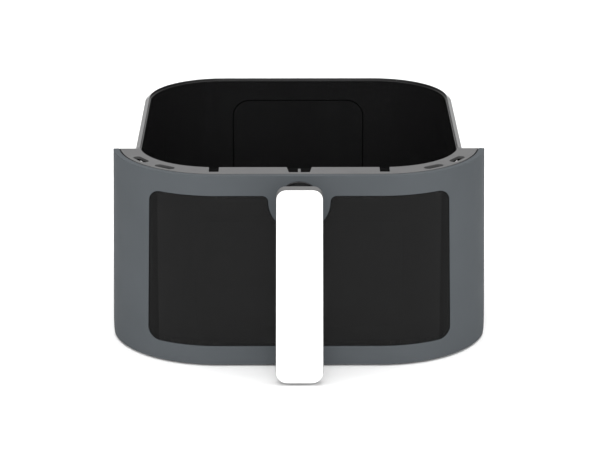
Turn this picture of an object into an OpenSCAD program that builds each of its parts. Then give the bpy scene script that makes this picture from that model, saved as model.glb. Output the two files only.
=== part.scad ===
// Pull-out drawer of an air fryer: a windowed front with a bar handle, and a deep pan behind it.
// The front faces -Y and +Z is up. X = 0 is the mirror plane, and the drawer rests on z = 0.
// Inside the modules y = 0 is the top edge of the front's face; place() moves it to the middle.

/* [Front shell] */
// Width of the front at its top edge
front_w = 300; // [280:1:320]
// Height of the front shell
front_h = 156; // [150:1:165]
// How much wider each side is at the bottom than at the top
front_flare = 3.1; // [0:0.1:4]
// Radius of the front's two vertical corners, seen from above
corner_r = 86; // [80:1:95]
// Wall thickness of the shell
wall = 3; // [2.5:0.1:3.5]
// Depth of the wings behind the front's face
wing_depth = 75.5; // [70:0.5:80]
// Rounding of the wings' lower rear corners
wing_corner_r = 14; // [10:1:20]
// Width of the lip round the ledge
lip_w = 4.5; // [4:0.1:5]

/* [Window] */
// Width of the window at its top
window_w = 236; // [220:1:244]
// Height of the window
window_h = 124.2; // [115:0.1:126]
// Distance from the top of the shell down to the window
window_drop = 16.5; // [15:0.5:20]
// Radius of the round boss that the window bends around
boss_r = 24.3; // [22:0.1:26]
// Depth of the dish's centre below the top of the shell
dish_drop = 21.3; // [20:0.1:23]
// Radius of the dish
dish_r = 16.6; // [15:0.1:18]
// Thickness of the outer window, which lies nearly flush in its opening
outer_glass_t = 3; // [2:0.1:3]
// Thickness of the inner window
inner_glass_t = 3.8; // [3:0.1:4]

/* [Ledge] */
// Length of a vent slot
slot_len = 18; // [14:1:20]
// Width of a vent slot
slot_w = 6.4; // [5:0.1:7]
// Width of a clip notch
clip_notch_w = 7.8; // [6:0.1:9]

/* [Pan] */
// Inside width of the pan at its rim
pan_w = 255.2; // [245:0.1:256]
// Depth of the pan's rear edge behind the front's face
pan_back = 301; // [280:1:310]
// How much each wall leans in from rim to floor
pan_draft = 5; // [0:0.5:6]
// Radius of the pan's inside corners at its rim
pan_corner_r = 62; // [58:1:64]
// Width of the rolled rim
rim_w = 4.6; // [4:0.1:5]
// Height of the crisper plate above the pan's floor
crisper_lift = 21; // [15:1:25]

/* [Handle] */
// Distance from the front's face to the front of the handle
handle_reach = 46; // [40:1:50]
// Width of the handle at its top
handle_w = 36; // [32:0.5:40]
// Extra width of the handle at its bottom
handle_spread = 1.3; // [0:0.1:3]
// Height of the handle
handle_h = 158; // [150:1:158]
// Thickness of the handle from front to back
handle_t = 11.7; // [10:0.1:14]

/* [Hidden] */
$fn = 96;

eps = 0.01;
far = 400;
arc_steps = 10;

// Heights above the resting plane
shell_z = 1.5;
top_z = shell_z + front_h;
dish_z = top_z - dish_drop;
window_top = top_z - window_drop;
window_bottom = window_top - window_h;

// The shell's plan is a flat face between two corner arcs
arc_x = front_w / 2 - corner_r;
front_y = -(pan_back - handle_reach) / 2;

// Layers behind the shell's face, as insets from its outer surface
lip_t = 2;
glass_in = 0.5;
glass_gap = 0.3;
glass_back = glass_in + outer_glass_t;
seal_t = 3.7;
seal_overlap = 3;
bezel_in = glass_back + seal_t + 0.1;
bezel_t = 2;
bezel_half_w = 112;
bezel_open_half_w = 96;
bezel_open_z = [18, 124];
shield_in = bezel_in + bezel_t + 1.9;

// Ledge
ledge_t = 2.4;
ledge_top = top_z - 0.1;
ledge_in = lip_w + 1.2;
lip_step_w = 1;
window_spread = 2.5;
lip_step_h = 1;
vent_r = corner_r - 12.3;
vent_angles = [33.5, 55.5];
clip_x = 67;
clip_notch_front = 11.4;
tab_notch = [[8.2, 10.1], [9.9, 24]];

// Pan
pan_wall = 1.2;
pan_floor_t = 1.5;
pan_base = 5.5;
pan_floor = pan_base + pan_floor_t;
rim_h = 4.2;
rim_crest = 1.5;
rim_z = top_z - 1.4;
pan_cx = pan_w / 2 - pan_corner_r;
pan_cy_back = pan_back - rim_w - pan_corner_r;
pan_cy_front = 24.6 + pan_corner_r;
shield_r = pan_corner_r + 2.8;
shield_t = 1;
shield_low = 8;
shield_high = top_z - 11;
pan_foot_r = 10;
pan_foot = [pan_cx - 5, pan_cy_back + 12];
emboss_w = 58.3;
emboss_low = 38;
emboss_high = top_z - 20.9;
emboss_r = 15;
groove_w = 1.6;
groove_depth = 0.5;

// Inner window: its opening in the pan, and the flat glass in front of it
inner_w = 168;
inner_low = 24;
inner_high = 116;
inner_glass_y = pan_cy_front - pan_corner_r - pan_wall - 4;
inner_overlap = 6;
frame_t = 1.2;
frame_overlap = 13;
frame_screw_x = [-75, -25, 25, 75];

// Glide ribs under the front
glide_x = 77;
glide_y = 27;
glide_w = 6;
glide_len = 30;

// Screws
screw_r = 1.5;
head_r = 2.8;
head_t = 1.6;
head_gap = 0.15;
pilot_r = 1.2;
pilot_end_y = 1.2;
clear_r = screw_r + 0.2;
rivet_clear_r = 2.2;
hole_depth = 46;
bezel_boss_r = 3;
bezel_screw_at = [[38, top_z - 7], [62, top_z - 7], [20, shell_z + 5.5], [62, shell_z + 5.5]];
pan_screw_at = [[36, 136], [60, 136]];
ledge_screw_r = vent_r - 1.4;
ledge_screw_at = [[45, 14.5], [arc_x + ledge_screw_r * cos(18), corner_r - ledge_screw_r * sin(18)]];
lower_screw_at = [[45, 13], [arc_x + vent_r * cos(45), corner_r - vent_r * sin(45)]];

// Handle
handle_top = top_z + 2.5;
handle_low = handle_top - handle_h;
handle_top_r = 7.6;
handle_low_r = 9;
cover_t = 2;
body_back = -handle_reach + handle_t;
body_wall = 2.5;
neck_w = 24;
neck_h = 22;
neck_r = 8;
arm_w = 13;
arm_h = 9;
dish_floor_y = 9;
strap_t = 2;
strap_low = 45;
strap_screw_z = [62, 102];
flange_hole_x = 14;
flange_t = 3;
shield_front = pan_cy_front - shield_r - shield_t;

// Crisper plate
crisper_r = pan_corner_r - 5.8;
crisper_z = pan_floor + crisper_lift;
crisper_t = 1.6;
crisper_rim_h = 6;
crisper_y = (pan_cy_front + pan_cy_back) / 2;
hole_rings = [for (i = [0:5]) [18 + 13 * i, 8 + 6 * i]];
foot_gap = 0.3;
bumper_w = 20;

function shell_r(z) = round(1000 * (corner_r + front_flare * (top_z - z) / front_h)) / 1000;
// Corner radius of the drafted pan at a height; like the shell's, it is in whole microns so that
// arcs and flats meet
function pan_r(z) =
    round(1000 * (pan_corner_r - pan_draft * (rim_z - z) / (rim_z - pan_floor))) / 1000;

function arc_points(centre, r, from, to) =
    [for (i = [0:arc_steps]) let (a = from + (to - from) * i / arc_steps) centre + r * [cos(a), sin(a)]];

// ---- Shared shapes ----

// Moves a piece from the front's own frame to the drawer's frame
module place() {
    translate([0, front_y, 0]) children();
}

module mirrored() {
    for (side = [0, 1]) mirror([side, 0, 0]) children();
}

// An outline in X and Z, extruded from y0 to y1
module along_y(y0, y1) {
    translate([0, y1, 0]) rotate([90, 0, 0]) linear_extrude(y1 - y0) children();
}

// An outline in Y and Z, extruded from x0 to x1
module along_x(x0, x1) {
    translate([x0, 0, 0]) rotate([90, 0, 90]) linear_extrude(x1 - x0) children();
}

// A rod along Y
module rod_y(x, z, r, y0, y1) {
    translate([x, y1, z]) rotate([90, 0, 0]) cylinder(h = y1 - y0, r = r);
}

// A block with four round vertical corners whose radius changes from r0 at z0 to r1 at z1
module tapered_block(cx, cy0, cy1, r0, r1, z0, z1) {
    for (x = [-cx, cx], y = [cy0, cy1])
        translate([x, y, z0]) cylinder(h = z1 - z0, r1 = r0, r2 = r1);
    along_x(-cx, cx) polygon([[cy0 - r0, z0], [cy1 + r0, z0], [cy1 + r1, z1], [cy0 - r1, z1]]);
    along_y(cy0, cy1) polygon([[-cx - r0, z0], [cx + r0, z0], [cx + r1, z1], [-cx - r1, z1]]);
}

// Everything inside the shell's outer surface, moved in by inset
module shell_block(inset, z0, z1) {
    r0 = shell_r(z0) - inset;
    r1 = shell_r(z1) - inset;
    for (x = [-arc_x, arc_x]) translate([x, corner_r, z0]) cylinder(h = z1 - z0, r1 = r0, r2 = r1);
    along_x(-arc_x, arc_x)
        polygon([[corner_r - r0, z0], [corner_r + r0, z0], [corner_r + r1, z1], [corner_r - r1, z1]]);
}

// A skin that follows the shell's face, between two insets
module shell_layer(in0, in1, z0, z1) {
    difference() {
        shell_block(in0, z0, z1);
        shell_block(in1, z0 - 1, z1 + 1);
        translate([-far / 2, wing_depth, z0 - 1]) cube([far, far, z1 - z0 + 2]);
    }
}

// The drafted pan's volume, grown outward by grow
module pan_block(grow, z0, z1) {
    tapered_block(pan_cx, pan_cy_front, pan_cy_back, pan_r(z0) + grow, pan_r(z1) + grow, z0, z1);
}

// A straight-walled block on the pan's four corner centres
module pan_prism(r, z0, z1) {
    tapered_block(pan_cx, pan_cy_front, pan_cy_back, r, r, z0, z1);
}

// Side outline of the wings, with the rounded lower rear corner
module wing_profile(inset) {
    r = wing_corner_r - inset;
    back = wing_depth - inset;
    low = shell_z + inset;
    translate([-far, low]) square([far + back - r, far]);
    translate([-far, low + r]) square([far + back, far]);
    translate([back - r, low + r]) circle(r = r);
}

// Rectangle with round corners, given by half its width and its bottom and top
module round_rect(half_w, low, high, r) {
    translate([-half_w + r, low]) square([2 * (half_w - r), high - low]);
    translate([-half_w, low + r]) square([2 * half_w, high - low - 2 * r]);
    for (x = [-half_w + r, half_w - r], z = [low + r, high - r]) translate([x, z]) circle(r = r);
}

// Mirrors an outline's right-hand points to close it
module mirrored_polygon(side) {
    polygon([each side, for (i = [len(side) - 1:-1:0]) [-side[i][0], side[i][1]]]);
}

// Right side of a trapezoid with round corners, wider at the bottom; the side is tangent to the arcs
function trapezoid_side(top_half, low_half, low, high, r_top, r_low) =
    let (
        top = [top_half - r_top, high - r_top],
        bottom = [low_half - r_low, low + r_low],
        run = bottom - top,
        lean = atan2(run[1], run[0]) + acos((r_top - r_low) / norm(run))
    )
    [each arc_points(bottom, r_low, -90, lean), each arc_points(top, r_top, lean, 90)];

// Window outline, grown by grow, bending round the boss
module window_outline(grow) {
    fillet_r = 5;
    fillet_z = window_top - fillet_r;
    fillet = [sqrt(pow(boss_r + fillet_r, 2) - pow(fillet_z - dish_z, 2)), fillet_z];
    boss = [0, dish_z];
    turn = atan2(fillet[1] - boss[1], fillet[0]);
    mirrored_polygon([
        each trapezoid_side(window_w / 2 + grow, window_w / 2 + window_spread + grow,
            window_bottom - grow, window_top + grow, 9 + grow, 9.5 + grow),
        each arc_points(fillet, fillet_r + grow, 90, 180 + turn),
        each arc_points(boss, boss_r - grow, turn, -90)
    ]);
}

// U-shaped clearance round the dish, open at the top
module dish_clearance(r) {
    translate([0, dish_z]) circle(r = r);
    translate([-r, dish_z]) square([2 * r, far]);
}

module handle_outline(inset) {
    mirrored_polygon(trapezoid_side(handle_w / 2 - inset, (handle_w + handle_spread) / 2 - inset,
        handle_low + inset, handle_top - inset, handle_top_r - inset, handle_low_r - inset));
}

module inner_outline(grow) {
    round_rect(inner_w / 2 + grow, inner_low - grow, inner_high + grow, 8 + grow / 2);
}

// A hole along Y through the pan's front wall and everything in front of it
module hole_y(x, z, r) {
    rod_y(x, z, r, 0, hole_depth);
}

// Screw along Y with its head at y0
module screw_y(x, z, y0, y1) {
    rod_y(x, z, head_r, y0, y0 + head_t);
    rod_y(x, z, screw_r, y0 + head_t - eps, y1);
}

// Upright screw with its head at the bottom
module screw_z(x, y, z0, z1) {
    translate([x, y, z0]) cylinder(h = head_t, r = head_r);
    translate([x, y, z0 + head_t - eps]) cylinder(h = z1 - z0 - head_t, r = screw_r);
}

// ---- Front assembly ----

module front_shell() {
    color("#61636a") place() difference() {
        union() {
            difference() {
                shell_block(0, shell_z, top_z);
                shell_block(wall, shell_z - 1, top_z - lip_t);
                shell_block(lip_w + lip_step_w, top_z - lip_t - 1, top_z + 1);
                shell_block(lip_w, top_z - lip_step_h, top_z + 1);
                along_y(-far / 4, wing_depth - wing_corner_r) window_outline(0);
            }
            intersection() {
                for (p = bezel_screw_at) mirrored() rod_y(p[0], p[1], bezel_boss_r, -5, 12);
                shell_layer(wall / 2, bezel_in - 0.1, shell_z + 1, top_z - 1);
            }
        }
        difference() {
            translate([-far / 2, -far / 4, -1]) cube([far, far, far]);
            along_x(-far / 2, far / 2) wing_profile(0);
        }
        rod_y(0, dish_z, dish_r, -far / 4, wing_depth - wing_corner_r);
        for (p = bezel_screw_at) mirrored() rod_y(p[0], p[1], pilot_r, pilot_end_y, 12);
    }
}

module ledge_cover() {
    low = ledge_top - ledge_t;
    color("#7c7c7d") place() difference() {
        union() {
            intersection() {
                shell_layer(ledge_in, far / 6, low, ledge_top);
                along_x(-far / 2, far / 2) wing_profile(0);
            }
            for (p = ledge_screw_at) mirrored()
                translate([p[0], p[1], shield_high]) cylinder(h = low - shield_high + eps, r = 3.2);
        }
        pan_prism(pan_corner_r + 1, low - 1, ledge_top + 1);
        pan_prism(pan_corner_r + rim_w + 0.3, low - 1, rim_z + 0.1);
        for (a = vent_angles) mirrored() vent_slot(a, low - 1, ledge_top + 1);
        mirrored() translate([clip_x - clip_notch_w / 2, clip_notch_front, low - 1])
            cube([clip_notch_w, 20, ledge_t + 2]);
        translate([0, 0, low - 1]) linear_extrude(ledge_t + 2) mirrored_polygon(tab_notch);
        for (p = ledge_screw_at) mirrored()
            translate([p[0], p[1], shield_high - 1]) cylinder(h = 8, r = pilot_r);
    }
}

// Oblong slot that lies along the corner arc at the given angle
module vent_slot(angle, z0, z1) {
    translate([arc_x, corner_r, z0]) rotate(-angle) translate([vent_r, 0]) linear_extrude(z1 - z0) {
        square([slot_w, slot_len - slot_w], center = true);
        for (s = [-1, 1]) translate([0, s * (slot_len - slot_w) / 2]) circle(r = slot_w / 2);
    }
}

module lower_cover() {
    plate_t = 2.2;
    color("#3a3b3e") place() difference() {
        union() {
            difference() {
                shell_block(wall + 0.2, shell_z, shell_z + plate_t);
                translate([-far / 2, wing_depth - wing_corner_r, 0]) cube([far, far, far]);
            }
            for (p = lower_screw_at) mirrored()
                translate([p[0], p[1], shell_z]) cylinder(h = shield_low - shell_z, r = 4);
            mirrored() translate([glide_x, glide_y, 0]) cube([glide_w, glide_len, shell_z + eps]);
        }
        for (p = lower_screw_at) mirrored() translate([p[0], p[1], 0]) {
            cylinder(h = shell_z + plate_t, r = head_r + 0.3);
            cylinder(h = 20, r = clear_r);
        }
    }
}

module end_caps() {
    inset = wall + 0.2;
    cap_top = ledge_top - ledge_t;
    color("#3a3b3e") place() mirrored() difference() {
        intersection() {
            translate([arc_x, corner_r, shell_z])
                cylinder(h = cap_top - shell_z, r1 = shell_r(shell_z) - inset, r2 = shell_r(cap_top) - inset);
            along_x(arc_x, far / 2) cap_profile(2.2);
        }
        translate([pan_cx, pan_cy_front, 0])
            cylinder(h = shield_high + 0.3, r = shield_r + shield_t + 0.3);
        translate([pan_cx, pan_cy_front, 0]) cylinder(h = top_z, r = pan_corner_r + pan_wall + 0.1);
        translate([pan_cx, pan_cy_front, rim_z - rim_h - 0.3])
            cylinder(h = 10, r = pan_corner_r + rim_w + 0.3);
    }
}

// Side outline of an end cap: it follows the rear edge of the wing and its round lower corner
module cap_profile(t) {
    bend = [wing_depth - wing_corner_r, shell_z + wing_corner_r];
    polygon([
        [wing_depth - t, top_z], each arc_points(bend, wing_corner_r - t, 0, -90),
        each arc_points(bend, wing_corner_r, -90, 0), [wing_depth, top_z]
    ]);
}

module heat_shield() {
    color("#8b8d90") place() difference() {
        union() {
            pan_prism(shield_r + shield_t, shield_low, shield_high);
            shield_flange(shield_high - shield_t, wing_depth - 4);
            shield_flange(shield_low, wing_depth - wing_corner_r - 2);
        }
        pan_prism(shield_r, 0, top_z);
        along_y(0, inner_glass_y + 20) inner_outline(inner_overlap + 1);
        along_x(-far / 2, far / 2) difference() {
            translate([-far / 2, 0]) square(far * 2);
            wing_profile(2.5);
        }
        // Notch that clears the dish and the bracket
        translate([-dish_r - 3.4, 0, shield_high - 5]) cube([2 * dish_r + 6.8, 12.6, 10]);
        for (p = concat(ledge_screw_at, lower_screw_at)) mirrored()
            translate([p[0], p[1], 0]) cylinder(h = top_z, r = clear_r);
        for (p = pan_screw_at) mirrored() hole_y(p[0], p[1], clear_r);
        mirrored() hole_y(flange_hole_x, dish_z, rivet_clear_r);
        for (x = frame_screw_x, z = frame_screw_z()) hole_y(x, z, clear_r);
    }
}

module shield_flange(z, back) {
    intersection() {
        shell_block(shield_in, z, z + shield_t);
        translate([-far / 2, -far / 4, z]) cube([far, far / 4 + back, shield_t]);
    }
}

// The outer window fills its opening in the shell, with its face just behind the shell's
module outer_window() {
    color("#202124", 0.6) place() intersection() {
        shell_layer(glass_in, glass_back, shell_z + 1, top_z - 1);
        along_y(-far / 4, 50) window_outline(-glass_gap);
    }
}

// A rubber frame behind the shell and the outer window, which closes the gap between them
module window_seal() {
    color("#1c1c1e") place() difference() {
        intersection() {
            shell_layer(wall, glass_back + seal_t, shell_z + 6, top_z - 6);
            along_y(-far / 4, 50) seal_outline();
        }
        along_y(-far / 4, 50) window_outline(-seal_overlap);
        difference() {
            along_y(-far / 4, 50) window_outline(0.05);
            shell_block(glass_back, shell_z, top_z);
        }
    }
}

module seal_outline() {
    margin = 6;
    difference() {
        mirrored_polygon(trapezoid_side(window_w / 2 + margin, window_w / 2 + window_spread + margin,
            window_bottom - margin, window_top + margin, 10, 12));
        dish_clearance(20);
    }
}

module window_bezel() {
    color("#26272a") place() difference() {
        shell_layer(bezel_in, bezel_in + bezel_t, shell_z + 2.5, top_z - 4);
        along_y(-far / 4, far / 2) difference() {
            translate([-far, -far]) square(2 * far);
            round_rect(bezel_half_w, 0, top_z, 4);
        }
        along_y(-far / 4, 60) round_rect(bezel_open_half_w, bezel_open_z[0], bezel_open_z[1], 10);
        along_y(-far / 4, 60) dish_clearance(19.5);
        for (p = bezel_screw_at) mirrored() rod_y(p[0], p[1], clear_r, -5, 20);
    }
}

module bezel_screws() {
    color("#b8babd") place() for (p = bezel_screw_at) mirrored() {
        // The bezel leans with the flared face, so the lower screws sit further forward
        back = bezel_in + bezel_t - front_flare * (top_z - p[1]) / front_h + 0.05;
        rod_y(p[0], p[1], head_r, back, back + head_t);
        rod_y(p[0], p[1], pilot_r, back - 5, back + eps);
    }
}

// ---- Inner window ----

module inner_window() {
    color("#6e7b78", 0.4) place()
        along_y(inner_glass_y, inner_glass_y + inner_glass_t) inner_outline(inner_overlap);
}

module inner_window_seal() {
    color("#2c2c2e") place() difference() {
        along_y(inner_glass_y + inner_glass_t, inner_glass_y + 22) difference() {
            inner_outline(inner_overlap + 0.8);
            inner_outline(0.5);
        }
        pan_block(pan_wall + 0.05, pan_floor, rim_z - rim_h);
    }
}

module inner_window_frame() {
    color("#3c3d40") place() difference() {
        along_y(inner_glass_y - frame_t, inner_glass_y) difference() {
            inner_outline(frame_overlap);
            inner_outline(-2);
        }
        for (x = frame_screw_x, z = frame_screw_z()) hole_y(x, z, clear_r);
    }
}

function frame_screw_z() = [inner_low - frame_overlap + 3.3, inner_high + frame_overlap - 3.3];

module inner_frame_screws() {
    color("#b8babd") place() for (x = frame_screw_x, z = frame_screw_z())
        screw_y(x, z, inner_glass_y - frame_t - head_t, pan_cy_front - pan_r(z) + 0.5);
}

// ---- Pan ----

module pan() {
    color("#1b1c1e") place() difference() {
        union() {
            pan_block(pan_wall, pan_base, rim_z);
            // The rolled rim, whose outer side slopes up to a narrow crest
            tapered_block(pan_cx, pan_cy_front, pan_cy_back, pan_corner_r + rim_w,
                pan_corner_r + rim_crest, rim_z - rim_h, rim_z);
            mirrored() translate(pan_foot) cylinder(h = pan_base + eps, r = pan_foot_r);
        }
        pan_block(0, pan_floor, rim_z + 1);
        mirrored() translate([pan_foot[0], pan_foot[1], pan_floor_t])
            cylinder(h = pan_base + eps, r = pan_foot_r - pan_floor_t);
        along_y(0, hole_depth) inner_outline(0);
        // Groove round the embossed panel in the rear wall
        intersection() {
            pan_block(groove_depth, pan_floor, rim_z);
            along_y(pan_cy_back, far) difference() {
                round_rect(emboss_w, emboss_low, emboss_high, emboss_r);
                round_rect(emboss_w - groove_w, emboss_low + groove_w, emboss_high - groove_w,
                    emboss_r - groove_w);
            }
        }
        for (p = pan_screw_at) mirrored() hole_y(p[0], p[1], clear_r);
        mirrored() hole_y(flange_hole_x, dish_z, rivet_clear_r);
        for (x = frame_screw_x, z = frame_screw_z()) hole_y(x, z, screw_r + 0.05);
    }
}

module pan_spacers() {
    color("#b8babd") place() difference() {
        union() {
            for (p = pan_screw_at) mirrored() rod_y(p[0], p[1], 4, shield_front + shield_t, hole_depth);
            mirrored() rod_y(flange_hole_x, dish_z, 4.5, shield_front + shield_t, hole_depth);
        }
        pan_block(pan_wall, pan_base, rim_z);
        for (p = pan_screw_at) mirrored() hole_y(p[0], p[1], clear_r);
        mirrored() hole_y(flange_hole_x, dish_z, rivet_clear_r);
    }
}

module pan_screws() {
    color("#b8babd") place() for (p = pan_screw_at) mirrored() {
        inside = pan_cy_front - pan_r(p[1]);
        rod_y(p[0], p[1], head_r + 0.4, inside + head_gap, inside + head_gap + head_t);
        rod_y(p[0], p[1], screw_r, shield_front - 3, inside + head_gap + eps);
        rod_y(p[0], p[1], head_r, shield_front - 3, shield_front);
    }
}

module ledge_screws() {
    color("#b8babd") place() for (p = ledge_screw_at) mirrored() {
        head_low = shield_high - shield_t - head_t;
        translate([p[0], p[1], head_low]) cylinder(h = head_t, r = head_r);
        translate([p[0], p[1], head_low + head_t - eps]) cylinder(h = 7, r = pilot_r);
    }
}

module lower_screws() {
    color("#b8babd") place() for (p = lower_screw_at) mirrored()
        screw_z(p[0], p[1], shell_z + 0.6, shield_low + 4);
}

module rim_clips() {
    leg_y = clip_notch_front + 1.6;
    clip_w = clip_notch_w - 0.6;
    clip_t = 1.1;
    tongue = 3.5;
    hook = 9;
    high = ledge_top - ledge_t - 0.1;
    low = rim_z - rim_h - 1.5;
    color("#9a9c9f") place() mirrored() translate([clip_x - clip_w / 2, 0, 0]) {
        translate([0, leg_y - tongue, high - clip_t]) cube([clip_w, tongue + clip_t, clip_t]);
        translate([0, leg_y, low]) cube([clip_w, clip_t, high - low]);
        translate([0, leg_y, low]) cube([clip_w, hook, clip_t]);
    }
}

module interlock_tab() {
    foot_w = 16;
    foot_t = 1.5;
    tab_w = 2.2;
    tab_y = [11, 19.6];
    color("#7c7c7d") place() {
        translate([-foot_w / 2, tab_y[0] + 2, shield_high]) cube([foot_w, tab_y[1] - tab_y[0] - 2, foot_t]);
        translate([-tab_w / 2, tab_y[0], shield_high])
            cube([tab_w, tab_y[1] - tab_y[0], ledge_top - 0.1 - shield_high]);
    }
}

// ---- Handle ----

// A dished cup behind the shell, with a hole for the bracket's arm
module handle_dish() {
    color("#303134") place() translate([0, 0, dish_z]) difference() {
        rotate([-90, 0, 0]) rotate_extrude() polygon([
            [0, dish_floor_y], [dish_r - 3.2, dish_floor_y], [dish_r - 0.9, 0.6], [dish_r - 0.1, 0.6],
            [dish_r - 0.1, wall + 0.4], [dish_r + 2, wall + 0.4], [dish_r + 2, wall + 1.8],
            [dish_r - 0.2, wall + 1.8], [dish_r - 1.6, dish_floor_y + 1.5], [0, dish_floor_y + 1.5]
        ]);
        along_y(0, 20) square([arm_w + 0.2, arm_h + 0.2], center = true);
    }
}

module handle_neck() {
    color("#6f7174") place() translate([0, 0, dish_z]) along_y(body_back, dish_floor_y) difference() {
        round_rect(neck_w / 2, -neck_h / 2, neck_h / 2, neck_r);
        square([arm_w + 0.2, arm_h + 0.2], center = true);
    }
}

module handle_body() {
    front = -handle_reach + cover_t;
    floor_y = body_back - body_wall;
    color("#818181") place() difference() {
        along_y(front, body_back) handle_outline(0);
        along_y(front - 1, floor_y) handle_outline(body_wall);
        translate([0, 0, dish_z]) along_y(front, 0) square([arm_w + 0.2, arm_h + 0.2], center = true);
        for (z = strap_screw_z) {
            rod_y(0, z, clear_r, front, 0);
            rod_y(0, z, head_r + 0.3, body_back - head_t, 0);
        }
    }
}

module handle_cover() {
    front = -handle_reach;
    color("#fafafa") place() {
        along_y(front, front + cover_t) handle_outline(0.3);
        along_y(front + cover_t - eps, front + cover_t + 3) difference() {
            handle_outline(body_wall + 0.2);
            handle_outline(body_wall + 1.6);
        }
    }
}

module handle_bracket() {
    floor_y = body_back - body_wall;
    color("#a9abae") place() difference() {
        union() {
            along_y(floor_y - strap_t, floor_y) round_rect(8, strap_low, dish_z + 10, 3);
            translate([-arm_w / 2, floor_y - eps, dish_z - arm_h / 2])
                cube([arm_w, shield_front - floor_y, arm_h]);
            translate([0, 0, dish_z]) along_y(shield_front - flange_t, shield_front)
                round_rect(20, -7, 7, 2);
        }
        mirrored() rod_y(flange_hole_x, dish_z, 1.65, 0, shield_front + 1);
        for (z = strap_screw_z) rod_y(0, z, pilot_r, floor_y - 5, floor_y + 1);
    }
}

module handle_screws() {
    inside = pan_cy_front - pan_r(dish_z);
    color("#b8babd") place() mirrored() {
        rod_y(flange_hole_x, dish_z, 3.6, inside + head_gap, inside + head_gap + 2.2);
        rod_y(flange_hole_x, dish_z, 1.65, shield_front - flange_t, inside + head_gap + eps);
    }
}

module handle_strap_screws() {
    floor_y = body_back - body_wall;
    color("#b8babd") place() for (z = strap_screw_z) {
        rod_y(0, z, head_r, body_back - head_t, body_back - 0.2);
        rod_y(0, z, pilot_r, floor_y - strap_t, body_back - head_t + eps);
    }
}

// ---- Crisper plate ----

module crisper_plate() {
    color("#202123") place() difference() {
        pan_prism(crisper_r, crisper_z, crisper_z + crisper_rim_h);
        pan_prism(crisper_r - 1.4, crisper_z + crisper_t, crisper_z + crisper_rim_h + 1);
        translate([0, crisper_y, crisper_z - 1]) linear_extrude(crisper_t + 2) crisper_holes();
    }
}

// Rings of oblong holes round a central finger hole
module crisper_holes() {
    circle(r = 7);
    for (ring = hole_rings, k = [0:ring[1] - 1])
        rotate(360 * (k + 0.5) / ring[1]) translate([ring[0], 0]) {
            square([4.4, 4.2], center = true);
            for (s = [-1, 1]) translate([s * 2.2, 0]) circle(r = 2.1);
        }
}

module crisper_bumpers() {
    half_x = pan_cx + crisper_r;
    half_y = (pan_cy_back - pan_cy_front) / 2 + crisper_r;
    color("#8f2f2a") place() translate([0, crisper_y, 0]) {
        for (a = [0, 180]) rotate(a) crisper_foot(half_x);
        for (a = [90, 270]) rotate(a) crisper_foot(half_y);
    }
}

// A silicone foot under the plate's edge, with a lip that keeps the plate off the pan's wall
module crisper_foot(reach) {
    low = pan_floor + foot_gap;
    lip = reach + 0.8;
    high = crisper_z + crisper_rim_h;
    along_y(-bumper_w / 2, bumper_w / 2) polygon([
        [reach - 10, low], [reach, low], [reach, crisper_z - 6], [lip, crisper_z - 6], [lip, high],
        [reach, high], [reach, crisper_z], [reach - 10, crisper_z]
    ]);
}

front_shell();
ledge_cover();
lower_cover();
end_caps();
heat_shield();
outer_window();
window_seal();
window_bezel();
bezel_screws();
inner_window();
inner_window_seal();
inner_window_frame();
inner_frame_screws();
pan();
pan_spacers();
pan_screws();
ledge_screws();
lower_screws();
rim_clips();
interlock_tab();
handle_dish();
handle_neck();
handle_body();
handle_cover();
handle_bracket();
handle_screws();
handle_strap_screws();
crisper_plate();
crisper_bumpers();
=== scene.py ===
"""Pull-out drawer of an air fryer: a windowed front with a bar handle, a deep pan and a crisper plate.

The drawer's front faces -Y and +Z is up, in metres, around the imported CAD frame. The front's walls are
made as plates in an unrolled frame (arc length, height, depth) and then wrapped round its plan.
"""

import math

import bmesh
import bpy
from mathutils import Matrix, Vector


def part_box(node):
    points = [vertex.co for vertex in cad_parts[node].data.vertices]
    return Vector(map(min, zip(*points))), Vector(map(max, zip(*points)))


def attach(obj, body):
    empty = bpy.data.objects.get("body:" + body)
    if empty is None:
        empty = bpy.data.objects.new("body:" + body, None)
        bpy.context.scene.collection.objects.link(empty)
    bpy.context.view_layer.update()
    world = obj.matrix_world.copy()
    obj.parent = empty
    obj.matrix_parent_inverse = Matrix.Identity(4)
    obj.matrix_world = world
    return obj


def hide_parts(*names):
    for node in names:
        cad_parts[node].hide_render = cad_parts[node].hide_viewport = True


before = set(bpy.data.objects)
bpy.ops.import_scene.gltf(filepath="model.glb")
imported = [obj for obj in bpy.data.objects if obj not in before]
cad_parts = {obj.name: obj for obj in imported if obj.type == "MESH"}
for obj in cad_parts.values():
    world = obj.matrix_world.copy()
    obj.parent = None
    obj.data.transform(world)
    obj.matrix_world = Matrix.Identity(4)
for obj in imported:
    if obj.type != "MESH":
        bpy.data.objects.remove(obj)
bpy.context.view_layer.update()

MM = 0.001

# ---- Driving dimensions, as in the CAD source ----
CORNER_R = 86 * MM
FLARE = 3.1 * MM
WALL = 3 * MM
WING_R = 14 * MM
LIP_W = 4.5 * MM
LIP_T = 2 * MM
HANDLE_REACH = 46 * MM
PAN_R = 62 * MM
PAN_DRAFT = 5 * MM
PAN_WALL = 1.2 * MM
PAN_BASE = 5.5 * MM
PAN_FLOOR = 7 * MM
RIM_W = 4.6 * MM
RIM_H = 4.2 * MM
DISH_R = 16.6 * MM
SCREW_R = 1.5 * MM
SCREW_HEAD_R = 2.8 * MM
SCREW_HEAD_T = 1.6 * MM

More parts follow.
